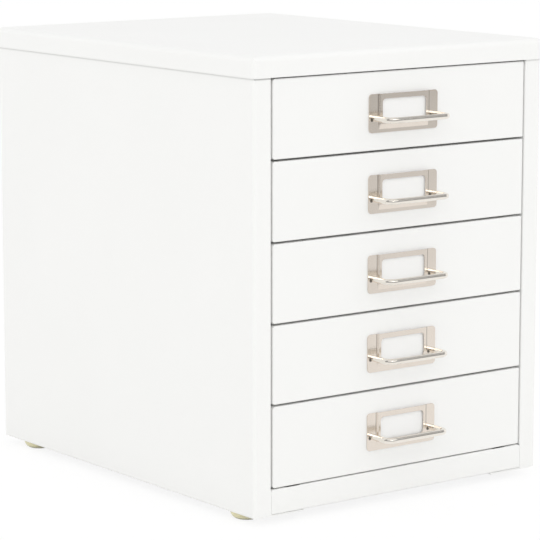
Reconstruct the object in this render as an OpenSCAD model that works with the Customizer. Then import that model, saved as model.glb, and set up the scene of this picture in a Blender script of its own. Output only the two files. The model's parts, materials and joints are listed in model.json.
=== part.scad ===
// Desktop cabinet of folded sheet steel with five shallow drawers for A4 paper.
// X runs along the front, Y from the front to the back, Z up from the floor.
// The origin is the middle of the cabinet's bounding box, on the floor.

/* [Cabinet] */
// Width over the top cap
cabinet_w = 279; // [270:1:420]
// Depth over the top cap
cabinet_d = 350; // [300:1:480]
// Height from the floor to the top
cabinet_h = 345; // [290:1:460]
// Thickness of the carcass sheet
sheet = 1.0; // [0.8:0.1:1.5]
// Outer radius of the upright corners of the body
body_corner_r = 2.5; // [2:0.5:4]
// Width of each front upright
upright_w = 15.7; // [13:0.1:24]
// Depth of the return behind each upright
upright_return = 15; // [8:1:20]
// Width of the rear returns and of the inner flanges
flange_w = 14; // [8:1:20]
// Width of the bottom flanges that carry the feet
foot_flange_w = 46; // [38:1:60]

/* [Top cap] */
// Height of the cap's skirt
cap_h = 16; // [13:1:24]
// Gap between the cap's skirt and the body
cap_gap = 0.3; // [0.3:0.1:1]
// Outer radius along the cap's top edges
cap_edge_r = 4.5; // [3:0.5:5]
// Outer radius of the cap's upright corners
cap_corner_r = 3.5; // [2.5:0.5:4]

/* [Plinth and feet] */
// Height of the plinth's top face above the floor
plinth_top = 26; // [20:0.1:50]
// Depth of the plinth's folded returns
plinth_return = 14; // [10:1:20]
// Length of each slot in the plinth's top return
slot_l = 13; // [8:1:20]
// Width of each slot in the plinth's top return
slot_w = 5; // [3:0.5:8]
// Distance of each slot's middle from the body's side
slot_inset = 36.5; // [28:0.5:60]
// Diameter of a foot where it is stuck on
foot_d = 25; // [12:1:26]
// Height of a foot
foot_h = 6; // [2:0.5:8]
// Distance of a foot's rim from the body's side
foot_margin = 1.5; // [1:0.5:12]
// Distance of the front feet from the front
foot_inset_front = 28; // [20:1:60]
// Distance of the rear feet from the back
foot_inset_rear = 32; // [15:1:60]

/* [Drawers] */
// Gap between two drawer fronts
front_gap = 1.6; // [1.2:0.1:3]
// Gap between the top drawer and the cap's skirt
lip_gap = 0.9; // [0.8:0.1:3]
// Gap between the bottom drawer and the plinth
sill_gap = 0.9; // [0.8:0.1:3]
// Gap at each side of a drawer front
side_gap = 1.6; // [1.2:0.1:3]
// How much taller the bottom drawer's front is, which hangs lower than the others
bottom_extra = 2.4; // [0:0.1:4]
// Thickness of the drawer sheet
drawer_sheet = 0.8; // [0.6:0.1:1]
// Depth of the drawer front's folded returns
front_return = 12; // [8:1:14]
// Corner radius of a drawer front's face
front_corner_r = 2; // [1:0.5:3]
// Bend radius along a drawer front's edges
front_edge_r = 1.2; // [1:0.1:1.8]
// Height of a tray's walls
tray_h = 46; // [30:1:50]
// Height of a tray's underside above the bottom of its front
tray_lift = 3; // [2:0.5:6]
// Width of the hooked rim outside the tray's wall
rim_w = 10; // [8:0.5:14]
// Depth of the hooked rim's down-turn
rim_h = 10; // [8:0.5:14]

/* [Runners] */
// Clearance between a rim and the upright beside it
rim_clearance = 1.3; // [1:0.1:2]
// Running clearance under the rims and glides
run_clearance = 0.3; // [0.2:0.05:0.5]
// Thickness of the glide's sole and of its cap
glide_sole = 0.9; // [0.6:0.1:1.5]
// Length of a nylon glide
glide_l = 16; // [10:1:24]
// Distance of the front stop tab from the front
stop_y = 50; // [30:1:90]
// Diameter of a rubber bumper
bumper_d = 7; // [5:0.5:8]
// Distance from the bumpers' barbs to the back panel
rear_clearance = 1; // [0.5:0.5:30]

/* [Card holder and pull] */
// Width of the card holder's plate
plate_w = 66; // [60:1:90]
// Height of the card holder's plate
plate_h = 28.8; // [24:0.1:36]
// Thickness of the plate
plate_t = 0.8; // [0.6:0.1:1]
// Distance of the plate's top edge below the top of its front
plate_down = 16.5; // [10:0.1:20]
// Width of the raised pocket
pocket_w = 50; // [44:1:56]
// Height at which the pocket's foot starts above the plate's bottom edge
pocket_foot = 2; // [1:0.5:5]
// Bend radius of the pocket's foot, to the middle of the sheet
foot_bend = 2.6; // [1.5:0.1:3.5]
// Inner depth of the pocket
pocket_depth = 1.3; // [1:0.1:2]
// Width of the window
window_w = 40.5; // [30:0.5:41]
// Height of the window
window_h = 15; // [10:0.5:16]
// Height of the border above the window
window_border = 3.5; // [2:0.1:5]
// Thickness of the label card
card_t = 0.4; // [0.2:0.1:0.6]
// Diameter of the pull's wire
wire_d = 4.5; // [3:0.5:6]
// How far the pull stands out from the drawer front
pull_reach = 23; // [18:0.5:34]
// Radius of the wire's bends, to its middle
wire_bend_r = 6; // [4:0.5:9]
// Distance of the wire's legs from the plate's ends
leg_inset = 4.6; // [4:0.2:8]
// Height of the wire above the plate's bottom edge
wire_rise = 10.8; // [8:0.2:16]
// Diameter of the wire's peened stubs
stub_d = 3; // [2:0.2:3.6]

/* [Hidden] */
$fn = 48;
tiny = 0.01;
drawer_count = 5;

// Body: the folded box under the cap
cap_overhang = sheet + cap_gap;              // how far the cap stands out past the body
body_w = cabinet_w - 2 * cap_overhang;
body_d = cabinet_d - 2 * cap_overhang;
body_x = body_w / 2;
body_top = cabinet_h - sheet;
shoulder_r = cap_edge_r - 0.5;               // outer radius of the side panels' top bends
wall_top = body_top - shoulder_r;            // the uprights end under the cap's rounded edge
lip_z = cabinet_h - cap_h;                   // bottom edge of the cap's skirt
opening_x = body_x - upright_w;              // half the clear width between the uprights
inner_x = body_x - sheet;                    // inner face of a side panel
back_y = body_d - 2 * sheet;                 // inner face of the back panel
hem_r = sheet + 0.4;                         // outer radius of a plain fold in the carcass sheet
plinth_z = foot_h + sheet;                   // the plinth and the base stand on the bottom flanges
base_z = plinth_z + sheet;                   // upper face of the base panel
seam = 0.2;                                  // gap where a rail meets the uprights
plinth_corner_r = 2;
rail_lift = 1.2;                             // the top rail's underside above the skirt's edge

// Drawers
first_front_z = plinth_top + sill_gap;        // bottom edge of the lowest front
front_h = (lip_z - lip_gap - first_front_z - bottom_extra - (drawer_count - 1) * front_gap) / drawer_count;
front_pitch = front_h + front_gap;
front_w = 2 * (opening_x - side_gap);
rim_x = opening_x - rim_clearance;           // outer face of a tray's rim
tray_x = rim_x - rim_w + drawer_sheet;       // outer face of a tray's wall
rim_front = front_return + 0.5;              // the rims start behind the front's returns
rim_r = drawer_sheet + 0.6;                  // outer radius of a fold in the drawer sheet
glide_gap = 0.1;                             // play between a glide and the rim it is pushed on
glide_cheek = 1;                             // thickness of a glide beside the rim
pad_l = 16;                                  // length of a runner's nylon front pad
pad_w = 2.6;
pad_setback = 1;                             // the pad's front end behind the runner's
pad_proud = 0.8;                             // how far the pad reaches out past the rim

// Runners: the channel stands round the rim and its glide
ledge_drop = rim_h + glide_sole + run_clearance;
ledge_rise = glide_sole / 2 + run_clearance;
ledge_x = tray_x + 1.5;                      // inner edge of the runner's ledges
runner_front = upright_return + 1;           // clear of the upright's return
bumper_l = 7.7;
bumper_hole_d = 4;
barb_l = 1.4;
runner_rear = back_y - rear_clearance - barb_l;
end_tab_y = runner_rear - sheet;
tray_rear = end_tab_y - bumper_l - run_clearance;
stop_h = 5;
stop_w = 5;

// Card holder and pull, measured from the top of a drawer front
plate_z = -plate_down - plate_h;             // bottom edge of the plate
leg_x = plate_w / 2 - leg_inset;
wire_z = plate_z + wire_rise;
bar_y = -pull_reach + wire_d / 2;
stub_clearance = 0.15;
stub_hole_d = stub_d + 2 * stub_clearance;
plate_corner_r = 2.5;
window_corner_r = 2.4;
side_bend = pocket_depth / 2;                // bend radius of the pocket's sides, which rise upright
foot_run = 2 * foot_bend * sin(rise_angle(foot_bend));
card_gap = 0.15;                             // play of the card behind and below
card_depth = card_t + 2 * card_gap;          // depth of pocket that the card needs
washer_d = 8;
washer_t = 0.8;
peen_d = 5;
peen_t = 1;

// Middle of the bounding box, which reaches from the pulls to the cap's rear skirt
middle_y = (body_d + cap_overhang - pull_reach) / 2;

steel_white = [0.96, 0.96, 0.95];
nickel = [0.78, 0.72, 0.67];
amber = [0.86, 0.72, 0.45, 0.8];
nylon = [0.9, 0.9, 0.86];
rubber_black = [0.12, 0.12, 0.12];
zinc = [0.72, 0.73, 0.75];

// Top of drawer n's front, counted from the top drawer
function front_top(n) = lip_z - lip_gap - (n - 1) * front_pitch;
// Bottom of drawer n's front
function front_low(n) = n == drawer_count ? first_front_z : front_top(n) - front_h;
// Underside of drawer n's tray
function tray_z(n) = front_top(n) - front_h + tray_lift;
// Top of drawer n's tray and rims
function rim_z(n) = tray_z(n) + tray_h;

// --- shared shapes ---

// Moves the cabinet from its front plane to the origin
module placed() {
    translate([0, -middle_y, 0]) children();
}

module mirrored_pair() {
    children();
    mirror([1, 0, 0]) children();
}

module box(low, high) {
    translate(low) cube(high - low);
}

// Flat outline (x, z) swept from y0 back to y1
module along_y(y0, y1) {
    translate([0, y1, 0]) rotate([90, 0, 0]) linear_extrude(y1 - y0) children();
}

// Flat outline (y, z) swept from x0 to x1
module along_x(x0, x1) {
    translate([x0, 0, 0]) rotate([90, 0, 90]) linear_extrude(x1 - x0) children();
}

// Flat outline (x, y) swept from z0 up to z1
module along_z(z0, z1) {
    translate([0, 0, z0]) linear_extrude(z1 - z0) children();
}

module area(low, high) {
    translate(low) square(high - low);
}

// Rectangle from one corner to the other with round corners
module round_area(low, high, r) {
    area(low + [r, 0], high - [r, 0]);
    area(low + [0, r], high - [0, r]);
    for (x = [low.x + r, high.x - r], y = [low.y + r, high.y - r])
        translate([x, y]) circle(r);
}

// Section of sheet folded round a rectangle, with outer bend radius r and thickness t
module fold(low, high, r, t) {
    difference() {
        round_area(low, high, r);
        round_area(low + [t, t], high - [t, t], r - t);
    }
}

// --- carcass ---

// A box whose upright corners and top edges are rounded, open-ended below z0
module rounded_lid(half_w, y0, y1, z0, z1, corner_r, edge_r) {
    intersection() {
        along_z(z0, z1) round_area([-half_w, y0], [half_w, y1], corner_r);
        along_y(y0, y1) round_area([-half_w, z0 - 2 * edge_r], [half_w, z1], edge_r);
        along_x(-half_w, half_w) round_area([y0, z0 - 2 * edge_r], [y1, z1], edge_r);
    }
}

module top_cap() {
    half_w = cabinet_w / 2;
    rear = body_d + cap_overhang;
    color(steel_white) placed() difference() {
        rounded_lid(half_w, -cap_overhang, rear, lip_z, cabinet_h, cap_corner_r, cap_edge_r);
        rounded_lid(half_w - sheet, sheet - cap_overhang, rear - sheet, lip_z - 1, body_top,
                    cap_corner_r - sheet, cap_edge_r - sheet);
    }
}

// Plan of the left side panel: upright, outer wall and rear return, with the upright's face ending at x1
module wall_plan(x1) {
    intersection() {
        fold([-body_x, 0], [body_x, body_d], body_corner_r, sheet);
        union() {
            area([-body_x, 0], [x1, body_d / 2]);
            area([-body_x, body_d / 2], [flange_w - body_x, body_d]);
        }
    }
}

// Plan of the return folded back from the left upright
module return_plan() {
    intersection() {
        fold([-body_x, 0], [-opening_x, body_d], hem_r, sheet);
        area([-opening_x - hem_r, 0], [-opening_x, upright_return]);
    }
}

module side_panel() {
    color(steel_white) placed() {
        intersection() {
            union() {
                along_z(foot_h, plinth_top) wall_plan(-opening_x);
                along_z(plinth_top, wall_top) {
                    wall_plan(-opening_x - hem_r);
                    return_plan();
                }
                box([-body_x, 0, foot_h], [foot_flange_w - body_x, body_d, plinth_z]);
            }
            along_z(foot_h, wall_top) round_area([-body_x, 0], [body_x, body_d], body_corner_r);
            along_y(0, body_d) round_area([-body_x, foot_h], [body_x, cabinet_h], hem_r);
        }
        along_y(shoulder_r, body_d - shoulder_r) intersection() {
            fold([-body_x, foot_h], [body_x, body_top], shoulder_r, sheet);
            area([-body_x, wall_top - sheet], [flange_w - body_x, body_top]);
        }
    }
}

module side_panel_left() {
    side_panel();
}

module side_panel_right() {
    mirror([1, 0, 0]) side_panel();
}

module back_panel() {
    half_w = inner_x - body_corner_r + sheet;    // clear of the bends to the rear returns
    color(steel_white) placed() intersection() {
        along_x(-half_w, half_w) intersection() {
            fold([body_d / 2, base_z], [body_d - sheet, body_top - sheet], hem_r, sheet);
            area([back_y + sheet - flange_w, base_z], [body_d, body_top]);
        }
        along_y(body_d / 2, body_d)
            round_area([-half_w, base_z - 2 * shoulder_r], [half_w, body_top - sheet], shoulder_r);
    }
}

module base_panel() {
    half_w = inner_x - body_corner_r + sheet;
    front_y = max(plinth_return, upright_return) + seam;
    color(steel_white) placed()
        box([-half_w, front_y, plinth_z], [half_w, body_d - sheet - seam, base_z]);
}

module plinth() {
    half_w = opening_x - seam;
    slot_x = body_x - slot_inset;
    color(steel_white) placed() difference() {
        intersection() {
            along_x(-half_w, half_w) intersection() {
                fold([0, plinth_z], [2 * plinth_return, plinth_top], hem_r, sheet);
                area([0, plinth_z], [plinth_return, plinth_top]);
            }
            along_y(0, plinth_return)
                round_area([-half_w, plinth_z - 2 * plinth_corner_r], [half_w, plinth_top], plinth_corner_r);
        }
        mirrored_pair()
            box([slot_x - slot_l / 2, sheet, plinth_top - 2 * sheet],
                [slot_x + slot_l / 2, sheet + slot_w, plinth_top + sheet]);
    }
}

module top_rail() {
    half_w = opening_x - seam;
    color(steel_white) placed() along_x(-half_w, half_w) intersection() {
        fold([shoulder_r, lip_z + rail_lift], [3 * upright_return, body_top], hem_r, sheet);
        area([shoulder_r, lip_z], [upright_return, body_top]);
    }
}

// Moulded stick-on foot: a disc whose lower edge is rounded off
module foot(x, y) {
    r = foot_d / 2;
    round_r = min(foot_h, foot_d / 3);
    color(amber) placed() translate([x, y, 0]) rotate_extrude() intersection() {
        round_area([-r, 0], [r, 2 * foot_h + 2 * round_r], round_r);
        area([0, 0], [r, foot_h]);
    }
}

module foot_front(side) {
    foot(side * (body_x - foot_margin - foot_d / 2), foot_inset_front);
}

module foot_rear(side) {
    foot(side * (body_x - foot_margin - foot_d / 2), body_d - foot_inset_rear);
}

// --- runners ---

// Right-hand runner of drawer n: a channel with a front stop tab and an end tab
module runner(n) {
    ledge_z = rim_z(n) - ledge_drop;
    roof_z = rim_z(n) + ledge_rise;
    color(steel_white) placed() difference() {
        union() {
            along_y(runner_front, runner_rear) intersection() {
                fold([0, ledge_z - sheet], [inner_x, roof_z + sheet], hem_r, sheet);
                area([ledge_x, ledge_z - sheet], [inner_x, roof_z + sheet]);
            }
            box([ledge_x, stop_y, ledge_z - sheet / 2], [ledge_x + stop_w, stop_y + sheet, ledge_z + stop_h]);
            box([ledge_x, end_tab_y, ledge_z - sheet / 2], [inner_x - sheet / 2, runner_rear, rim_z(n)]);
        }
        bumper_place(n) rotate([-90, 0, 0]) cylinder(h = 2 * bumper_l, d = bumper_hole_d);
    }
}

// Middle of drawer n's right-hand bumper, at its front face
module bumper_place(n) {
    translate([(ledge_x + rim_x) / 2, tray_rear + run_clearance, rim_z(n) - ledge_drop / 2]) children();
}

module runner_right(n) {
    runner(n);
}

module runner_left(n) {
    mirror([1, 0, 0]) runner(n);
}

module runner_bumpers() {
    neck_d = bumper_hole_d - 0.4;
    barb_d = bumper_hole_d + 1.6;
    color(rubber_black) placed() mirrored_pair() for (n = [1:drawer_count])
        bumper_place(n) rotate([-90, 0, 0]) {
            cylinder(h = bumper_l, d = bumper_d);
            translate([0, 0, bumper_l - tiny]) cylinder(h = sheet + 2 * tiny, d = neck_d);
            translate([0, 0, bumper_l + sheet]) cylinder(h = barb_l, d = barb_d);
        }
}

// Nylon pads on the front ends of the runners, under the rims
module runner_pads() {
    color(nylon) placed() mirrored_pair() for (n = [1:drawer_count]) {
        ledge_z = rim_z(n) - ledge_drop;
        box([rim_x + pad_proud - pad_w, runner_front + pad_setback, ledge_z],
            [rim_x + pad_proud, runner_front + pad_setback + pad_l, ledge_z + glide_sole]);
    }
}

// --- drawers ---

// Holes for both stubs of drawer n's pull, from y0 to y1
module stub_holes(n, y0, y1) {
    mirrored_pair() translate([leg_x, y0, front_top(n) + wire_z])
        rotate([-90, 0, 0]) cylinder(h = y1 - y0, d = stub_hole_d);
}

module drawer_front(n) {
    x = front_w / 2;
    z0 = front_low(n);
    z1 = front_top(n);
    t = drawer_sheet;
    color(steel_white) placed() difference() {
        intersection() {
            along_y(0, front_return) round_area([-x, z0], [x, z1], front_corner_r);
            along_x(-x, x) round_area([0, z0], [2 * front_return, z1], front_edge_r);
            along_z(z0, z1) round_area([-x, 0], [x, 2 * front_return], front_edge_r);
        }
        along_y(t, front_return + 1) round_area([t - x, z0 + t], [x - t, z1 - t], front_corner_r - t);
        stub_holes(n, -1, t + 1);
    }
}

// Section of drawer n's right-hand hooked rim, with room for play all round
module rim_section(n, play = 0) {
    low = [tray_x - drawer_sheet - play, rim_z(n) - rim_h - play];
    high = [rim_x + play, rim_z(n) + play];
    intersection() {
        fold(low - [0, rim_h], high, rim_r + play, drawer_sheet + 2 * play);
        area(low, high);
    }
}

// Filled section of drawer n's tray, an inset inside its outer faces and up to the top
module tray_section(n, inset, top) {
    bottom = tray_z(n) + inset;
    half_w = tray_x - inset;
    intersection() {
        round_area([-half_w, bottom], [half_w, bottom + 2 * tray_h], rim_r - inset);
        area([-half_w, bottom], [half_w, top]);
    }
}

module drawer_tray(n) {
    t = drawer_sheet;
    color(steel_white) placed() difference() {
        union() {
            difference() {
                along_y(t, tray_rear) tray_section(n, 0, rim_z(n) - rim_r);
                along_y(2 * t, tray_rear - t) tray_section(n, t, rim_z(n));
            }
            mirrored_pair() along_y(rim_front, tray_rear) rim_section(n);
        }
        stub_holes(n, 0, 3 * t);
    }
}

// Nylon shoes round the rear ends of drawer n's rims
module glides(n) {
    top = rim_z(n);
    low = top - rim_h - glide_sole;
    color(nylon) placed() mirrored_pair() along_y(tray_rear - glide_l, tray_rear) difference() {
        area([tray_x, low], [rim_x + glide_cheek, top + glide_sole / 2]);
        rim_section(n, glide_gap);
    }
}

// Angle through which sheet turns in each bend, of radius r to its middle, to rise by the pocket's depth
function rise_angle(r) = acos(1 - pocket_depth / (2 * r));

// Outline of all that lies behind one face of the rising sheet: the face starts at height base with the
// bend r_low, goes over into the bend r_high and runs on level to the distance far
module rise(base, r_low, r_high, far) {
    angle = rise_angle((r_low + r_high) / 2);
    joint = [r_low * sin(angle), base + r_low * (1 - cos(angle))];
    run = joint.x + r_high * sin(angle);
    top = base + pocket_depth;
    difference() {
        area([0, -1], joint);
        translate([0, base + r_low]) circle(r_low);
    }
    area([joint.x, -1], [run, joint.y]);
    intersection() {
        translate([run, top - r_high]) circle(r_high);
        area(joint, [run, top]);
    }
    area([run, -1], [far, top]);
}

// Everything behind the front (side = 1) or the back (side = -1) of the pressed pocket's sheet, up to z1
module pocket_form(side, z1) {
    x = pocket_w / 2;
    foot_z = plate_z + pocket_foot;
    half_t = side * plate_t / 2;
    base = plate_t / 2 + half_t;
    intersection() {
        along_z(foot_z, z1) for (turn = [0, 1])
            mirror([turn, 0]) translate([-x, 0]) mirror([0, 1])
                rise(base, side_bend - half_t, side_bend + half_t, x);
        along_x(-x, x) translate([0, foot_z]) rotate(90)
            rise(base, foot_bend - half_t, foot_bend + half_t, z1 - foot_z);
    }
}

module card_holder(n) {
    top_z = plate_z + plate_h;
    window_z = top_z - window_border - window_h;
    color(nickel) placed() difference() {
        translate([0, 0, front_top(n)]) difference() {
            union() {
                along_y(-plate_t, 0)
                    round_area([-plate_w / 2, plate_z], [plate_w / 2, top_z], plate_corner_r);
                intersection() {
                    pocket_form(1, top_z);
                    along_y(-plate_h, 0) area([-plate_w, plate_z], [plate_w, top_z]);
                }
            }
            pocket_form(-1, top_z + 1);
            along_y(-plate_h, 0)
                round_area([-window_w / 2, window_z], [window_w / 2, window_z + window_h], window_corner_r);
        }
        stub_holes(n, -plate_t - 1, 1);
    }
}

// How far above the start of the pocket's foot the card stands: where its slope has become deep enough
function card_stand() =
    let (r = foot_bend + plate_t / 2, slope_depth = r * (1 - cos(rise_angle(foot_bend))))
    card_depth < slope_depth ? sqrt(2 * r * card_depth - card_depth ^ 2) : foot_run;

module label_card(n) {
    x = pocket_w / 2 - 2 * side_bend - card_gap;
    z0 = front_top(n) + plate_z;
    color("white") placed()
        box([-x, -card_t - card_gap, z0 + pocket_foot + card_stand()],
            [x, -card_gap, z0 + plate_h - 3 * card_gap]);
}

// Bent wire handle of drawer n with stubs that pass through to the inside
module pull(n) {
    wire_r = wire_d / 2;
    bend_x = leg_x - wire_bend_r;
    bend_y = bar_y + wire_bend_r;
    inside_y = 2 * drawer_sheet + washer_t;
    color(nickel) placed() translate([0, 0, front_top(n) + wire_z]) {
        translate([-bend_x, bar_y, 0]) rotate([0, 90, 0]) cylinder(h = 2 * bend_x, r = wire_r);
        mirrored_pair() {
            translate([bend_x, bend_y, 0]) rotate(-90)
                rotate_extrude(angle = 90) translate([wire_bend_r, 0]) circle(wire_r);
            translate([leg_x, bend_y, 0]) rotate([-90, 0, 0]) cylinder(h = -plate_t - bend_y, r = wire_r);
            translate([leg_x, -plate_t, 0]) rotate([-90, 0, 0]) cylinder(h = plate_t + inside_y, d = stub_d);
            translate([leg_x, inside_y, 0]) rotate([-90, 0, 0]) cylinder(h = peen_t, d = peen_d);
        }
    }
}

module pull_washers(n) {
    color(zinc) placed() difference() {
        mirrored_pair() translate([leg_x, 2 * drawer_sheet, front_top(n) + wire_z])
            rotate([-90, 0, 0]) cylinder(h = washer_t, d = washer_d);
        stub_holes(n, drawer_sheet, 2 * drawer_sheet + washer_t + 1);
    }
}

top_cap();
side_panel_left();
side_panel_right();
back_panel();
base_panel();
plinth();
top_rail();
foot_front(-1);  // foot_front_left
foot_front(1);  // foot_front_right
foot_rear(-1);  // foot_rear_left
foot_rear(1);  // foot_rear_right
runner_left(1);  // runner_left_1
runner_left(2);  // runner_left_2
runner_left(3);  // runner_left_3
runner_left(4);  // runner_left_4
runner_left(5);  // runner_left_5
runner_right(1);  // runner_right_1
runner_right(2);  // runner_right_2
runner_right(3);  // runner_right_3
runner_right(4);  // runner_right_4
runner_right(5);  // runner_right_5
runner_bumpers();
runner_pads();
drawer_front(1);  // drawer_front_1
drawer_tray(1);  // drawer_tray_1
card_holder(1);  // card_holder_1
pull(1);  // pull_1
pull_washers(1);  // pull_washers_1
label_card(1);  // label_card_1
glides(1);  // glides_1
drawer_front(2);  // drawer_front_2
drawer_tray(2);  // drawer_tray_2
card_holder(2);  // card_holder_2
pull(2);  // pull_2
pull_washers(2);  // pull_washers_2
label_card(2);  // label_card_2
glides(2);  // glides_2
drawer_front(3);  // drawer_front_3
drawer_tray(3);  // drawer_tray_3
card_holder(3);  // card_holder_3
pull(3);  // pull_3
pull_washers(3);  // pull_washers_3
label_card(3);  // label_card_3
glides(3);  // glides_3
drawer_front(4);  // drawer_front_4
drawer_tray(4);  // drawer_tray_4
card_holder(4);  // card_holder_4
pull(4);  // pull_4
pull_washers(4);  // pull_washers_4
label_card(4);  // label_card_4
glides(4);  // glides_4
drawer_front(5);  // drawer_front_5
drawer_tray(5);  // drawer_tray_5
card_holder(5);  // card_holder_5
pull(5);  // pull_5
pull_washers(5);  // pull_washers_5
label_card(5);  // label_card_5
glides(5);  // glides_5
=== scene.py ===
import json
import math
import bpy
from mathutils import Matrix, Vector
from mathutils.geometry import delaunay_2d_cdt

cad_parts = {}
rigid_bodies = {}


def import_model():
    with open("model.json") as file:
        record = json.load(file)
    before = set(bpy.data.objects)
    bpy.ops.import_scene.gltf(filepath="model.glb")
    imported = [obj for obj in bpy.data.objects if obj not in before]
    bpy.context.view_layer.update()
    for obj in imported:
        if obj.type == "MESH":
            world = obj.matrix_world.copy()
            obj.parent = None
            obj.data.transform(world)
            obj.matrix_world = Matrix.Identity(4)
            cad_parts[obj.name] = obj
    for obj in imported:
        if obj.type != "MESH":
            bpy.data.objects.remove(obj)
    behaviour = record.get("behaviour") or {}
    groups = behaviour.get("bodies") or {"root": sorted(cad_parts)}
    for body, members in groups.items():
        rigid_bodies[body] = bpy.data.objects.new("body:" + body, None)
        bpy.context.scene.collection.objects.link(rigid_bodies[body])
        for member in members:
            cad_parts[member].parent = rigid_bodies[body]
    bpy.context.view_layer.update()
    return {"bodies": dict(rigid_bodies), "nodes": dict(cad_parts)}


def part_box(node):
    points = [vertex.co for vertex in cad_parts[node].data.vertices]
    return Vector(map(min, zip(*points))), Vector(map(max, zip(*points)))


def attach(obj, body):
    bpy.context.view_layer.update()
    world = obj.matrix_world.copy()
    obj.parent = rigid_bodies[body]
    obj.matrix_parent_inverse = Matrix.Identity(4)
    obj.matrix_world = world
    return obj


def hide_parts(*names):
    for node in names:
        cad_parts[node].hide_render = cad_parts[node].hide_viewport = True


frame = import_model()
drawerCount = sum(1 for body in frame["bodies"] if body.startswith("drawer_"))
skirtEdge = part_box("top_cap")[0].z    # the lower edge of the cap's skirt
print("frame loaded:", len(frame["nodes"]), "nodes,", drawerCount, "drawers")


# shader maths: a Socket is one value in a node tree, and sums or products of it become Math nodes
class Socket:
    def __init__(self, tree, link=None):
        self.tree = tree
        self.link = link

    def node(self, kind, settings=None, sockets=None, output=0):
        made = self.tree.nodes.new(kind)
        for name, value in (settings or {}).items():
            if name == "stops":
                self.setStops(made.color_ramp, value)
            else:
                setattr(made, name, value)
        for name, value in (sockets or {}).items():
            if isinstance(value, Socket):
                self.tree.links.new(value.link, made.inputs[name])
            else:
                made.inputs[name].default_value = value
        return Socket(self.tree, made.outputs[output])

    def setStops(self, colourRamp, stops):    # a new ramp comes with two stops
        for index, (place, shade) in enumerate(stops):
            stop = colourRamp.elements[index] if index < 2 else colourRamp.elements.new(place)
            stop.position = place
            stop.color = (shade, shade, shade, 1)

    def maths(self, operation, first, second=0.0, clamp=False):
        settings = {"operation": operation, "use_clamp": clamp}
        return self.node("ShaderNodeMath", settings, {0: first, 1: second})

    def __add__(self, other):
        return self.maths("ADD", self, other)

    def __sub__(self, other):
        return self.maths("SUBTRACT", self, other)

    def __rsub__(self, other):
        return self.maths("SUBTRACT", other, self)

    def __mul__(self, other):
        return self.maths("MULTIPLY", self, other)

    def __truediv__(self, other):
        return self.maths("DIVIDE", self, other)

    __radd__ = __add__
    __rmul__ = __mul__


def feed(node, name, value):
    value.tree.links.new(value.link, node.inputs[name])


def setConstants(node, values):
    for name, value in values.items():
        node.inputs[name].default_value = value


def ramp(nodes, stops, value):
    return nodes.node("ShaderNodeValToRGB", {"stops": stops}, {"Fac": value})


def onAxis(nodes, vector, axis):
    return nodes.node("ShaderNodeSeparateXYZ", sockets={"Vector": vector}, output=axis)


def towards(nodes, vector, side):    # how far a vector goes towards a side
    settings = {"operation": "DOT_PRODUCT"}
    return nodes.node("ShaderNodeVectorMath", settings, {0: vector, 1: side}, output="Value")


def lengthOf(nodes, vector):
    return nodes.node("ShaderNodeVectorMath", {"operation": "LENGTH"}, {0: vector}, output="Value")


def fading(nodes, off, reach):    # 1 where off is 0, and 0 from reach on
    return nodes.maths("SUBTRACT", 1.0, off / reach, clamp=True)


def ownPlace(nodes):    # the object's own coordinates, in metres
    return nodes.node("ShaderNodeTexCoord", output="Object")


def stretched(nodes, scale):    # the same, stretched along each axis
    return nodes.node("ShaderNodeMapping", sockets={"Vector": ownPlace(nodes), "Scale": scale})


def noise(nodes, place, size, detail=2.0):    # size is the width of one blotch, in metres
    return nodes.node("ShaderNodeTexNoise", sockets={"Vector": place, "Scale": 1 / size, "Detail": detail})


def bump(nodes, height, depth):    # height from 0 to 1 stands for depth, in metres
    return nodes.node("ShaderNodeBump", sockets={"Height": height, "Distance": depth})


def mixColours(nodes, share, first, second):
    return nodes.node("ShaderNodeMix", {"data_type": "RGBA"},
                      {0: share, 6: (*first, 1), 7: (*second, 1)}, output=2)


def darken(nodes, share, colour, shade):
    return nodes.node("ShaderNodeMix", {"data_type": "RGBA", "blend_type": "MULTIPLY"},
                      {0: share, 6: colour, 7: (shade, shade, shade, 1)}, output=2)


def newMaterial(name):
    made = bpy.data.materials.new(name)
    made.use_nodes = True
    shader = made.node_tree.nodes["Principled BSDF"]
    return made, shader, Socket(made.node_tree)


# powder coat: a smooth white skin with a fine orange peel
coat = {
    "colour": (0.930, 0.930, 0.918),
    "colourThin": (0.905, 0.906, 0.892),
    "thinStops": ((0.35, 0.0), (0.75, 1.0)),
    "thinShare": 0.35,
    "roughness": 0.40,
    "roughnessSwing": 0.10,
    "peelSize": 0.0021,
    "grainSize": 0.00035,
    "cloudSize": 0.09,
    "peelDepth": 0.000022,
    "grainShare": 0.18,
    "constants": {"IOR": 1.5, "Specular IOR Level": 0.5},
}

# painted shadow of the open gap under the cap's skirt: a dark line round the body, darkest on the left front
# upright
jointShadow = {
    "down": 0.0008,            # from the skirt's edge to the middle of the line
    "reach": 0.0008,
    "shade": 0.50,
    "sideShare": 0.38,
    "faceDepth": 0.00085,      # how far in from the uprights' faces the line is still the front's
}


def jointShadowLine(nodes):
    place = ownPlace(nodes)
    off = nodes.maths("ABSOLUTE", onAxis(nodes, place, "Z") - (skirtEdge - jointShadow["down"]))
    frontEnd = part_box("side_panel_left")[0].y + jointShadow["faceDepth"]
    front = nodes.maths("LESS_THAN", onAxis(nodes, place, "Y"), frontEnd)
    left = nodes.maths("LESS_THAN", onAxis(nodes, place, "X"), 0.0)
    share = front * left * (1 - jointShadow["sideShare"]) + jointShadow["sideShare"]
    return fading(nodes, off, jointShadow["reach"]) * share


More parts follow.
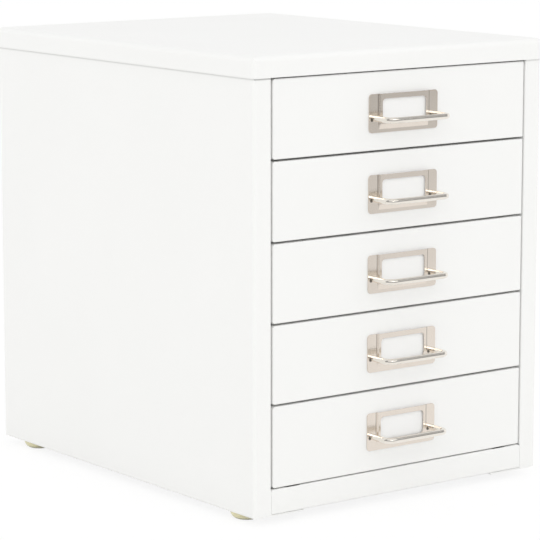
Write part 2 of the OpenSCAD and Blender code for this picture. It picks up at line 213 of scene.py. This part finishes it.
def powderCoat(name, coat, jointShadowed=False):
    made, shader, nodes = newMaterial(name)
    place = ownPlace(nodes)
    peel = noise(nodes, place, coat["peelSize"], detail=1.0)
    grain = noise(nodes, place, coat["grainSize"], detail=0.0)
    cloud = noise(nodes, place, coat["cloudSize"], detail=3.0)
    thin = ramp(nodes, coat["thinStops"], cloud)
    skin = mixColours(nodes, thin * coat["thinShare"], coat["colour"], coat["colourThin"])
    if "dentShadeAndThinCoat" in coat:    # the weld marks carry a share of painted shade in each dent, with a thinner coat there
        dent = nodes.node("ShaderNodeAttribute", {"attribute_name": "dent"}, output="Fac")
        skin = darken(nodes, dent, skin, coat["dentShadeAndThinCoat"])
    # painted shadow under the cap's skirt, darkest on the left front upright
    if jointShadowed:
        skin = darken(nodes, jointShadowLine(nodes), skin, jointShadow["shade"])
    feed(shader, "Base Color", skin)
    feed(shader, "Roughness", (cloud + grain - 1) * (coat["roughnessSwing"] / 2) + coat["roughness"])
    feed(shader, "Normal", bump(nodes, peel + grain * coat["grainShare"], coat["peelDepth"]))
    setConstants(shader, coat["constants"])
    return made


# card holder: a pressed plate with a raised pocket that is open at the top, and a window in the pocket
holder = {
    "pocketWidth": 0.0477,
    "sideRun": 0.0008,         # how far the pocket's sides take to rise
    "wall": 0.0005,            # how much narrower the pocket is inside, at each side
    "footStart": 0.0023,       # up from the plate's lower edge
    "footRun": 0.0042,
    "windowWidth": 0.0421,
    "windowHeight": 0.0178,
    "windowDown": 0.0036,      # from the plate's upper edge
    "windowCorner": 0.0030,
    "plateCorner": 0.0027,
    "sheet": 0.0008,
    "stubX": 0.0284,           # the holes for the wire's stubs: from the middle, and below the upper edge
    "stubDown": 0.0180,
    "stubHole": 0.00165,
    "sideLines": 14,
    "footLines": 14,
    "cornerSteps": 8,
    "pointsApart": 1e-7,
}

# nickel plate over pressed sheet: satin, with the mill's grain along the strip
satinNickel = {
    "colour": (0.815, 0.742, 0.668),
    "colourDeep": (0.768, 0.695, 0.618),
    "roughness": 0.17,
    "roughnessSwing": 0.05,
    "grainSize": 0.0003,
    "grainStretch": 26,
    "cloudSize": 0.018,
    "grainDepth": 0.0000008,
    "creaseOut": 0.00075,      # painted shade along the line beside the pocket's sides
    "creaseReach": 0.0006,
    "creaseLength": 0.0180,
    "creaseShade": 0.54,
    "rootShadowRadius": 0.0017,      # painted shadow beside each stub's hole, to the left of the wire and under it
    "rootShadowSoft": 0.0006,
    "rootShadowAside": 0.0019,
    "rootShadowLow": 0.0010,
    "rootShadowShade": 0.20,
}

# nickel plate over drawn wire: bright
brightNickel = {
    "colour": (0.895, 0.855, 0.795),
    "colourDeep": (0.835, 0.785, 0.715),
    "roughness": 0.13,
    "roughnessSwing": 0.06,
    "grainSize": 0.00035,
    "grainStretch": 12,
    "cloudSize": 0.012,
    "grainDepth": 0.0000005,
}


def nickelPlate(name, metal):
    made, shader, nodes = newMaterial(name)
    grain = noise(nodes, stretched(nodes, (1 / metal["grainStretch"], 1, 1)), metal["grainSize"])
    cloud = noise(nodes, ownPlace(nodes), metal["cloudSize"])
    plated = mixColours(nodes, cloud, metal["colour"], metal["colourDeep"])
    # painted shade beside the pocket's sides, and a painted shadow under each of the wire's roots
    if "creaseShade" in metal:
        plated = darken(nodes, paintedCreaseShade(nodes, metal), plated, metal["creaseShade"])
        plated = darken(nodes, paintedRootShadow(nodes, metal), plated, metal["rootShadowShade"])
    feed(shader, "Base Color", plated)
    feed(shader, "Roughness", (grain - 0.5) * metal["roughnessSwing"] + metal["roughness"])
    feed(shader, "Normal", bump(nodes, grain, metal["grainDepth"]))
    setConstants(shader, {"Metallic": 1.0})
    return made


def onPlate(nodes, aside=0.0):    # how far a spot is from its plate's middle, and below its upper edge
    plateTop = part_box("card_holder_1")[1].z
    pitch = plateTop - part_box("card_holder_2")[1].z
    place = ownPlace(nodes)
    side = nodes.maths("ABSOLUTE", onAxis(nodes, place, "X") + aside)
    below = nodes.maths("FRACT", (plateTop - onAxis(nodes, place, "Z")) / pitch)
    return side, below * pitch


def paintedCreaseShade(nodes, metal):    # 1 along the foot of the pocket's sides, where shade is painted into the plating
    side, below = onPlate(nodes)
    off = nodes.maths("ABSOLUTE", side - (holder["pocketWidth"] / 2 + metal["creaseOut"]))
    return fading(nodes, off, metal["creaseReach"]) * nodes.maths("LESS_THAN", below, metal["creaseLength"])


def paintedRootShadow(nodes, metal):    # 1 in the painted shadow beside each stub's hole, to the left of and under the wire's root
    side, below = onPlate(nodes, metal["rootShadowAside"])
    across = side - holder["stubX"]
    down = below - (holder["stubDown"] + metal["rootShadowLow"])
    off = lengthOf(nodes, nodes.node("ShaderNodeCombineXYZ", sockets={"X": across, "Y": down}))
    return nodes.maths("DIVIDE", metal["rootShadowRadius"] - off, metal["rootShadowSoft"], clamp=True)


# zinc plate on the washers: dull, with faint spangles
zinc = {
    "colour": (0.60, 0.61, 0.63),
    "colourDeep": (0.47, 0.48, 0.50),
    "roughness": 0.38,
    "roughnessSwing": 0.12,
    "spangleSize": 0.0014,
}


def zincPlate(name, zinc):
    made, shader, nodes = newMaterial(name)
    scale = 1 / zinc["spangleSize"]
    spangle = nodes.node("ShaderNodeTexVoronoi", sockets={"Vector": ownPlace(nodes), "Scale": scale})
    feed(shader, "Base Color", mixColours(nodes, spangle, zinc["colour"], zinc["colourDeep"]))
    feed(shader, "Roughness", spangle * zinc["roughnessSwing"] + zinc["roughness"])
    setConstants(shader, {"Metallic": 1.0})
    return made


# moulded parts: amber polyurethane feet, black rubber bumpers, natural nylon glides
amber = {
    "colour": (0.97, 0.93, 0.66),
    "colourDeep": (0.95, 0.88, 0.54),
    "roughness": 0.24,
    "grainSize": 0.0006,
    "grainDepth": 0.00001,
    "soleHeight": 0.0023,      # below it a foot gets painted shade, where it curves under
    "soleShade": 0.24,
    "constants": {"IOR": 1.48, "Transmission Weight": 0.20},
}
rubber = {
    "colour": (0.030, 0.030, 0.031),
    "colourDeep": (0.018, 0.018, 0.018),
    "roughness": 0.72,
    "grainSize": 0.0004,
    "grainDepth": 0.00003,
    "constants": {"IOR": 1.5},
}
nylon = {
    "colour": (0.80, 0.80, 0.755),
    "colourDeep": (0.72, 0.715, 0.66),
    "roughness": 0.42,
    "grainSize": 0.0005,
    "grainDepth": 0.000012,
    "constants": {"IOR": 1.53},
}
moulding = {"cloudGrains": 14, "roughnessSwing": 0.12}    # alike for all three


def moulded(name, stuff):
    made, shader, nodes = newMaterial(name)
    place = ownPlace(nodes)
    grain = noise(nodes, place, stuff["grainSize"])
    cloud = noise(nodes, place, stuff["grainSize"] * moulding["cloudGrains"])
    colour = mixColours(nodes, cloud, stuff["colour"], stuff["colourDeep"])
    # painted shade along the foot's lower edge
    if "soleShade" in stuff:
        under = fading(nodes, onAxis(nodes, place, "Z"), stuff["soleHeight"])
        colour = darken(nodes, under, colour, stuff["soleShade"])
    feed(shader, "Base Color", colour)
    feed(shader, "Roughness", (grain - 0.5) * moulding["roughnessSwing"] + stuff["roughness"])
    feed(shader, "Normal", bump(nodes, grain, stuff["grainDepth"]))
    setConstants(shader, stuff["constants"])
    return made


# blank card: uncoated paper with long fibres
card = {
    "colour": (0.955, 0.955, 0.948),
    "colourDeep": (0.925, 0.924, 0.915),
    "roughness": 0.85,
    "roughnessSwing": 0.1,
    "fibreSize": 0.0004,
    "fibreStretch": 5,
    "fibreDepth": 0.00001,
}


def paper(name, card):
    made, shader, nodes = newMaterial(name)
    fibre = noise(nodes, stretched(nodes, (1 / card["fibreStretch"], 1, 1)), card["fibreSize"], detail=3.0)
    feed(shader, "Base Color", mixColours(nodes, fibre, card["colour"], card["colourDeep"]))
    feed(shader, "Roughness", fibre * card["roughnessSwing"] + card["roughness"])
    feed(shader, "Normal", bump(nodes, fibre, card["fibreDepth"]))
    return made


finishes = {
    "white_carcass": powderCoat("carcassCoat", coat, jointShadowed=True),
    "white_drawers": powderCoat("drawerCoat", coat),
    "nickel_plate": nickelPlate("satinNickel", satinNickel),
    "nickel_wire": nickelPlate("brightNickel", brightNickel),
    "zinc_washers": zincPlate("zincPlate", zinc),
    "amber_feet": moulded("amberFoot", amber),
    "black_rubber": moulded("blackRubber", rubber),
    "white_nylon": moulded("naturalNylon", nylon),
    "white_card": paper("blankCard", card),
}
print("finishes made:", len(finishes))


def dressNodes():    # each node comes with its slot's name as its material
    for node in frame["nodes"].values():
        for slot in node.material_slots:
            slot.material = finishes[slot.material.name.split(".")[0]]


dressNodes()
print("nodes dressed")


def newObject(name, data):
    made = bpy.data.objects.new(name, data)
    bpy.context.scene.collection.objects.link(made)
    return made


def roundedLoop(low, high, corner, steps):    # corners of a rounded rectangle, anticlockwise from the right
    left, right = low[0] + corner, high[0] - corner
    bottom, top = low[1] + corner, high[1] - corner
    loop = []
    for turn, (x, z) in enumerate(((right, top), (left, top), (left, bottom), (right, bottom))):
        for step in range(steps + 1):
            angle = math.radians(90) * (turn + step / steps)
            loop.append((x + corner * math.cos(angle), z + corner * math.sin(angle)))
    return loop


def inRounded(x, z, low, high, corner):
    across = max(low[0] + corner - x, x - high[0] + corner, 0)
    along = max(low[1] + corner - z, z - high[1] + corner, 0)
    return low[0] < x < high[0] and low[1] < z < high[1] and math.hypot(across, along) < corner


def rise(share):    # a smooth step from 0 to 1, and its slope
    share = min(max(share, 0), 1)
    return share * share * (3 - 2 * share), 6 * share * (1 - share)


def pocketDepth(x, z, inset, depth):    # how far the pocket stands out at a spot, and the slopes there
    side, sideSlope = rise((holder["pocketWidth"] / 2 - inset - abs(x)) / holder["sideRun"])
    foot, footSlope = rise((z - holder["footStart"] - inset) / holder["footRun"])
    across = -math.copysign(depth * foot * sideSlope / holder["sideRun"], x)
    return depth * side * foot, across, depth * side * footSlope / holder["footRun"]


def pocketBends(height):    # the lines along which the flat plate is cut so that it can bend
    edge = holder["pocketWidth"] / 2
    bends = []
    for n in range(holder["sideLines"] + 1):
        x = edge - (holder["sideRun"] + holder["wall"]) * n / holder["sideLines"]
        bends += [((side * x, 0), (side * x, height)) for side in (-1, 1)]
    for n in range(holder["footLines"] + 1):
        z = holder["footStart"] + (holder["footRun"] + holder["wall"]) * n / holder["footLines"]
        bends.append(((-edge, z), (edge, z)))
    return bends


def holderSheet(width, height):    # the flat plate as triangles, cut along its outline, holes and bends
    steps = holder["cornerSteps"]
    top = height - holder["windowDown"]
    windowLow = (-holder["windowWidth"] / 2, top - holder["windowHeight"])
    windowHigh = (holder["windowWidth"] / 2, top)
    loops = [roundedLoop((-width / 2, 0), (width / 2, height), holder["plateCorner"], steps),
             roundedLoop(windowLow, windowHigh, holder["windowCorner"], steps)]
    hole = holder["stubHole"]
    stubs = [(side * holder["stubX"], height - holder["stubDown"]) for side in (-1, 1)]
    for x, z in stubs:
        loops.append(roundedLoop((x - hole, z - hole), (x + hole, z + hole), hole, steps // 2))
    points, edges = [], []
    for loop in loops:
        start = len(points)
        points += loop
        edges += [(start + n, start + (n + 1) % len(loop)) for n in range(len(loop))]
    for bend in pocketBends(height):
        edges.append((len(points), len(points) + 1))
        points += bend
    points = [Vector(point) for point in points]
    flat, _, faces, *_ = delaunay_2d_cdt(points, edges, [], 0, holder["pointsApart"])
    kept = []
    for face in faces:
        x, z = sum((flat[n] for n in face), Vector((0, 0))) / 3
        if not inRounded(x, z, windowLow, windowHigh, holder["windowCorner"]):
            if min(math.hypot(x - a, z - b) for a, b in stubs) > hole:
                kept.append(tuple(face))
    return flat, kept


def cardHolder(number):
    low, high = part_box("card_holder_%d" % number)
    depth = high.y - low.y - holder["sheet"]
    flat, faces = holderSheet(high.x - low.x, high.z - low.z)
    front, back, frontOut, backOut = [], [], [], []
    for x, z in flat:
        out, across, along = pocketDepth(x, z, 0, depth)
        front.append((x, high.y - holder["sheet"] - out, low.z + z))
        frontOut.append(Vector((-across, -1, -along)).normalized())
        out, across, along = pocketDepth(x, z, holder["wall"], depth)
        back.append((x, high.y - out, low.z + z))
        backOut.append(Vector((across, 1, along)).normalized())
    count = len(flat)
    used = {(face[n], face[n - 2]) for face in faces for n in range(3)}
    rim = [(b, a, a + count, b + count) for a, b in used if (b, a) not in used]
    backFaces = [tuple(n + count for n in reversed(face)) for face in faces]
    mesh = bpy.data.meshes.new("cardHolder_%d" % number)
    mesh.from_pydata(front + back, [], faces + backFaces + rim)
    mesh.polygons.foreach_set("use_smooth", [True] * len(mesh.polygons))
    outward = []
    for polygon in mesh.polygons:
        if polygon.loop_total == 4:    # the rim's faces stay flat
            outward += [polygon.normal.copy()] * 4
        else:
            outward += [(frontOut + backOut)[n] for n in polygon.vertices]
    mesh.normals_split_custom_set(outward)
    mesh.materials.append(finishes["nickel_plate"])
    made = newObject("cardHolder_%d" % number, mesh)
    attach(made, "drawer_%d" % number)
    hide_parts("card_holder_%d" % number)


# label card: cut to the inside of the pocket, it stands on the slope of the pocket's foot
label = {
    "thickness": 0.0004,
    "play": 0.00015,           # behind the card and at each end
    "topDown": 0.00045,        # from the plate's upper edge
    "corner": 0.0005,
    "cornerSteps": 4,
    "standStep": 0.00005,
}


def labelCard(number):
    low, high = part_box("card_holder_%d" % number)
    depth = high.y - low.y - holder["sheet"]
    room = label["thickness"] + 2 * label["play"]
    stand = holder["footStart"]
    while pocketDepth(0, stand, holder["wall"], depth)[0] < room:
        stand += label["standStep"]
    half = holder["pocketWidth"] / 2 - holder["wall"] - holder["sideRun"] - label["play"]
    top = high.z - low.z - label["topDown"]
    loop = roundedLoop((-half, stand), (half, top), label["corner"], label["cornerSteps"])
    count = len(loop)
    back = high.y - label["play"]
    points = [(x, y, low.z + z) for y in (back - label["thickness"], back) for x, z in loop]
    faces = [tuple(range(count)), tuple(reversed(range(count, 2 * count)))]
    faces += [((n + 1) % count, n, n + count, (n + 1) % count + count) for n in range(count)]
    mesh = bpy.data.meshes.new("labelCard_%d" % number)
    mesh.from_pydata(points, [], faces)
    mesh.materials.append(finishes["white_card"])
    made = newObject("labelCard_%d" % number, mesh)
    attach(made, "drawer_%d" % number)
    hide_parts("label_card_%d" % number)


for number in range(1, drawerCount + 1):
    cardHolder(number)
    labelCard(number)
print("card holders pressed and cards cut:", drawerCount)


# spot weld marks: shallow round dents with a raised rim, in rows where sheets are joined out of sight
welds = {
    "radius": 0.0032,
    "height": 0.00038,
    "profile": ((0.0, 0.32), (0.40, 0.20), (0.66, 1.0), (1.0, 0.0)),    # from the middle to the rim
    # painted shade in each dent and a thinner coat, darkest on the inner slope of the rim
    "dent": ((0.0, 0.35), (0.42, 0.75), (0.58, 1.0), (0.72, 0.15), (1.0, 0.25)),
    "dentShadeAndThinCoat": 0.80,
    "sizeSwing": 0.07,
    "sunk": 0.00001,
    "sides": 28,
    "rings": 9,
    "coneDepth": 1e-7,         # the disc starts as a cone that is next to flat
    "seed": 5,
    "returnSpacing": 0.054,
    "returnInset": 0.0070,
    "returnEnds": (0.024, 0.016),
    "runnerSpacing": 0.119,
    "runnerEnds": (0.040, 0.046),
    "runnerSheet": 0.0010,
    "traySpacing": 0.0395,
    "trayInset": 0.022,
    "trayHeight": 0.0125,
    "traySheet": 0.0008,
}


def weldGroup():    # turns each line into a row of marks that face along the attribute "facing"
    group = bpy.data.node_groups.new("weldMarks", "GeometryNodeTree")
    inputs = {"Geometry": "Geometry", "Spacing": "Float", "Radius": "Float", "Height": "Float",
              "Coat": "Material"}
    for name, kind in inputs.items():
        group.interface.new_socket(name, in_out="INPUT", socket_type="NodeSocket" + kind)
    group.interface.new_socket("Geometry", in_out="OUTPUT", socket_type="NodeSocketGeometry")
    nodes = Socket(group)
    given = group.nodes.new("NodeGroupInput")
    rows, spacing, radius, height, finish = [Socket(group, given.outputs[name]) for name in inputs]
    curve = nodes.node("GeometryNodeMeshToCurve", sockets={"Mesh": rows})
    points = nodes.node("GeometryNodeResampleCurve", {"mode": "LENGTH"}, {"Curve": curve, "Length": spacing})
    disc = nodes.node("GeometryNodeMeshCone", {"fill_type": "NONE"},
                      {"Vertices": welds["sides"], "Side Segments": welds["rings"], "Radius Top": 0.0,
                       "Radius Bottom": radius, "Depth": welds["coneDepth"]})
    place = nodes.node("GeometryNodeInputPosition")
    flat = nodes.node("ShaderNodeVectorMath", {"operation": "MULTIPLY"}, {0: place, 1: (1, 1, 0)})
    out = lengthOf(nodes, flat) / radius
    lift = ramp(nodes, welds["profile"], out) * height - welds["sunk"]
    raised = nodes.node("ShaderNodeCombineXYZ", sockets={"Z": lift})
    mark = nodes.node("GeometryNodeSetPosition",
                      sockets={"Geometry": disc, "Position": flat, "Offset": raised})
    # the share of painted shade and thinner coat, stored for the weld marks' coat
    dented = nodes.node("GeometryNodeStoreNamedAttribute", {"data_type": "FLOAT", "domain": "POINT"},
                        {"Geometry": mark, "Name": "dent", "Value": ramp(nodes, welds["dent"], out)})
    smooth = nodes.node("GeometryNodeSetShadeSmooth", sockets={"Geometry": dented, "Shade Smooth": True})
    facing = nodes.node("GeometryNodeInputNamedAttribute", {"data_type": "FLOAT_VECTOR"}, {"Name": "facing"})
    turn = nodes.node("FunctionNodeAlignRotationToVector", {"axis": "Z"}, {"Vector": facing})
    swing = welds["sizeSwing"]
    size = nodes.node("FunctionNodeRandomValue", {"data_type": "FLOAT"},
                      {"Min": 1 - swing, "Max": 1 + swing, "Seed": welds["seed"]}, output=1)
    marks = nodes.node("GeometryNodeInstanceOnPoints",
                       sockets={"Points": points, "Instance": smooth, "Rotation": turn, "Scale": size})
    real = nodes.node("GeometryNodeRealizeInstances", sockets={"Geometry": marks})
    coated = nodes.node("GeometryNodeSetMaterial", sockets={"Geometry": real, "Material": finish})
    feed(group.nodes.new("NodeGroupOutput"), "Geometry", coated)
    return group


# a row is its two ends and the way that it faces
def weldRows(name, body, rows, spacing, group, skin):
    ends = [end for row in rows for end in row[:2]]
    mesh = bpy.data.meshes.new(name)
    mesh.from_pydata(ends, [(2 * n, 2 * n + 1) for n in range(len(rows))], [])
    facing = mesh.attributes.new("facing", "FLOAT_VECTOR", "POINT")
    for n, row in enumerate(rows):
        facing.data[2 * n].vector = facing.data[2 * n + 1].vector = row[2]
    made = newObject(name, mesh)
    modifier = made.modifiers.new("marks", "NODES")
    modifier.node_group = group
    values = {"Spacing": spacing, "Radius": welds["radius"], "Height": welds["height"], "Coat": skin}
    for item in group.interface.items_tree:
        if item.in_out == "INPUT" and item.name in values:
            modifier[item.identifier] = values[item.name]
    bpy.context.view_layer.update()
    made.data = bpy.data.meshes.new_from_object(made.evaluated_get(bpy.context.evaluated_depsgraph_get()))
    made.modifiers.remove(modifier)
    made.data.materials.clear()
    made.data.materials.append(skin)
    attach(made, body)


def returnRow(side, way):    # down the rear return of a side panel; way is 1 where the body lies towards +X
    low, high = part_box("side_panel_" + side)
    outer = low.x if way > 0 else high.x
    x = outer + way * welds["returnInset"]
    lowEnd, highEnd = welds["returnEnds"]
    return (x, high.y, low.z + lowEnd), (x, high.y, skirtEdge - highEnd), (0, 1, 0)


def runnerRow(side, way, number):    # along the inner face of a runner's web
    low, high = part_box("runner_%s_%d" % (side, number))
    outer = low.x if way > 0 else high.x
    x = outer + way * welds["runnerSheet"]
    z = (low.z + high.z) / 2
    frontEnd, rearEnd = welds["runnerEnds"]
    return (x, low.y + frontEnd, z), (x, high.y - rearEnd, z), (way, 0, 0)


def trayRow(number):    # across the inner face of a tray's front wall
    low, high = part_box("drawer_tray_%d" % number)
    y = low.y + welds["traySheet"]
    z = low.z + welds["trayHeight"]
    return (low.x + welds["trayInset"], y, z), (high.x - welds["trayInset"], y, z), (0, 1, 0)


def weldTheSheets():
    group = weldGroup()
    skin = powderCoat("weldCoat", {**coat, "dentShadeAndThinCoat": welds["dentShadeAndThinCoat"]})
    numbers = range(1, drawerCount + 1)
    for side, way in (("left", 1), ("right", -1)):
        returns = [returnRow(side, way)]
        runners = [runnerRow(side, way, number) for number in numbers]
        for name, rows in (("return", returns), ("runner", runners)):
            spacing = welds[name + "Spacing"]
            weldRows("%sWelds_%s" % (name, side), "cabinet", rows, spacing, group, skin)
    for number in numbers:
        name = "trayWelds_%d" % number
        rows = [trayRow(number)]
        weldRows(name, "drawer_%d" % number, rows, welds["traySpacing"], group, skin)


weldTheSheets()
print("weld marks pressed")


# studio: a pale sweep, a white surround and soft lamps; shiny parts see a dimmer room around the sweep
studio = {
    "floorSize": 40.0,
    "floorColour": (0.90, 0.90, 0.89),
    "floorRoughness": 0.9,
    "floorWhite": 1.03,                # how bright the sweep is for the camera
    "floorShare": 0.84,                # how much of its shading that hides
    "roomSide": (-0.50, -0.87, 0),     # towards the room, out over the front edge of the sweep
    "sweepReach": 3.0,
    "sweepFade": ((0.0, 1.0), (0.12, 1.0), (0.19, 0.82), (0.28, 0.76), (0.60, 0.30), (1.0, 0.22)),
    "surround": 1.09,
    "surroundHeight": ((0.0, 1.0), (0.35, 0.96), (1.0, 0.80)),    # brightest at the horizon
    "roomHeight": ((0.0, 0.38), (0.45, 0.34), (0.80, 0.55), (1.0, 0.90)),    # by height above the horizon
    "roomEdge": ((0.50, 0.0), (0.62, 1.0)),       # where the white behind the object gives way to the room
    "backdropTop": ((0.42, 1.0), (0.60, 0.0)),    # how high that white reaches
    "softboxSide": (0, -1, 0),         # a softbox high in front, that only shiny parts see
    "softboxEdge": ((0.66, 0.0), (0.74, 1.0)),
    "softboxHeight": ((0.38, 0.0), (0.46, 1.0), (0.66, 1.0), (0.72, 0.0)),
    "softboxPower": 1.6,
    "lampAim": (0, 0, 0.2),
    "lamps": {
        "keyLamp": {"place": (-2.0, -1.9, 2.2), "size": (2.2, 2.2), "power": 8.0},
        "frontLamp": {"place": (-0.55, -2.5, 2.0), "size": (0.50, 0.30), "power": 2.3},
        "stripLamp": {"place": (1.9, -2.3, 2.3), "size": (0.3, 1.6), "power": 1.8},
    },
}


def whichRay(nodes, *kinds):    # 1 for rays of these kinds
    total = nodes.node("ShaderNodeLightPath", output=kinds[0])
    for kind in kinds[1:]:
        total = total + nodes.node("ShaderNodeLightPath", output=kind)
    return nodes.maths("MINIMUM", total, 1.0)


def floor():
    half = studio["floorSize"] / 2
    mesh = bpy.data.meshes.new("floor")
    corners = [(-half, -half, 0), (half, -half, 0), (half, half, 0), (-half, half, 0)]
    mesh.from_pydata(corners, [], [(0, 1, 2, 3)])
    material, shader, nodes = newMaterial("paleFloor")
    setConstants(shader, {"Base Color": (*studio["floorColour"], 1), "Roughness": studio["floorRoughness"],
                          "Specular IOR Level": 0.0})
    straight = whichRay(nodes, "Is Camera Ray", "Is Transmission Ray")
    mirrored = whichRay(nodes, "Is Glossy Ray")
    away = towards(nodes, ownPlace(nodes), studio["roomSide"]) / studio["sweepReach"]
    sweep = ramp(nodes, studio["sweepFade"], away)
    strength = straight * studio["floorWhite"] + (1 - straight) * sweep
    white = nodes.node("ShaderNodeEmission", sockets={"Strength": strength})
    share = (straight + mirrored) * studio["floorShare"]
    lit = Socket(nodes.tree, shader.outputs[0])
    mixed = nodes.node("ShaderNodeMixShader", sockets={0: share, 1: lit, 2: white})
    feed(nodes.tree.nodes["Material Output"], "Surface", mixed)
    mesh.materials.append(material)
    made = newObject("floor", mesh)


def surround():
    world = bpy.data.worlds.new("surround")
    bpy.context.scene.world = world
    world.use_nodes = True
    nodes = Socket(world.node_tree)
    straight = whichRay(nodes, "Is Camera Ray", "Is Transmission Ray")
    mirrored = whichRay(nodes, "Is Glossy Ray")
    direction = nodes.node("ShaderNodeTexCoord", output="Generated")
    height = onAxis(nodes, direction, "Z")
    room = ramp(nodes, studio["roomHeight"], height)
    behind = ramp(nodes, studio["roomEdge"], 0.5 - towards(nodes, direction, studio["roomSide"]) * 0.5)
    backdrop = behind * ramp(nodes, studio["backdropTop"], height)
    softbox = ramp(nodes, studio["softboxEdge"], towards(nodes, direction, studio["softboxSide"]))
    softbox = softbox * ramp(nodes, studio["softboxHeight"], height)
    seen = backdrop + room - backdrop * room + softbox * studio["softboxPower"]
    around = ramp(nodes, studio["surroundHeight"], height) * studio["surround"]
    strength = straight + mirrored * seen + (1 - straight - mirrored) * around
    background = world.node_tree.nodes["Background"]
    setConstants(background, {"Color": (1, 1, 1, 1)})
    feed(background, "Strength", strength)


def lamp(name, facts):
    light = bpy.data.lights.new(name, "AREA")
    light.shape = "RECTANGLE"
    light.size, light.size_y = facts["size"]
    light.energy = facts["power"]
    made = newObject(name, light)
    made.location = facts["place"]
    made.rotation_euler = (Vector(studio["lampAim"]) - made.location).to_track_quat("-Z", "Y").to_euler()


def stageIt():
    floor()
    surround()
    for name, facts in studio["lamps"].items():
        lamp(name, facts)
    bpy.context.scene.view_settings.view_transform = "Standard"


# camera: where it stands, in metres, and its lens, in millimetres
shot = {
    "place": (-1.27572, -1.68880, 0.50957),
    "yaw": 37.047,     # degrees to the right of straight at the front
    "dip": 9.492,      # degrees below the horizon
    "lens": 178.85,
    "filmWidth": 36.0,
}


def camera():
    data = bpy.data.cameras.new("camera")
    data.lens = shot["lens"]
    data.sensor_width = shot["filmWidth"]
    made = newObject("camera", data)
    made.location = shot["place"]
    made.rotation_euler = (math.radians(90 - shot["dip"]), 0, -math.radians(shot["yaw"]))
    bpy.context.scene.camera = made


stageIt()
camera()
print("studio set")
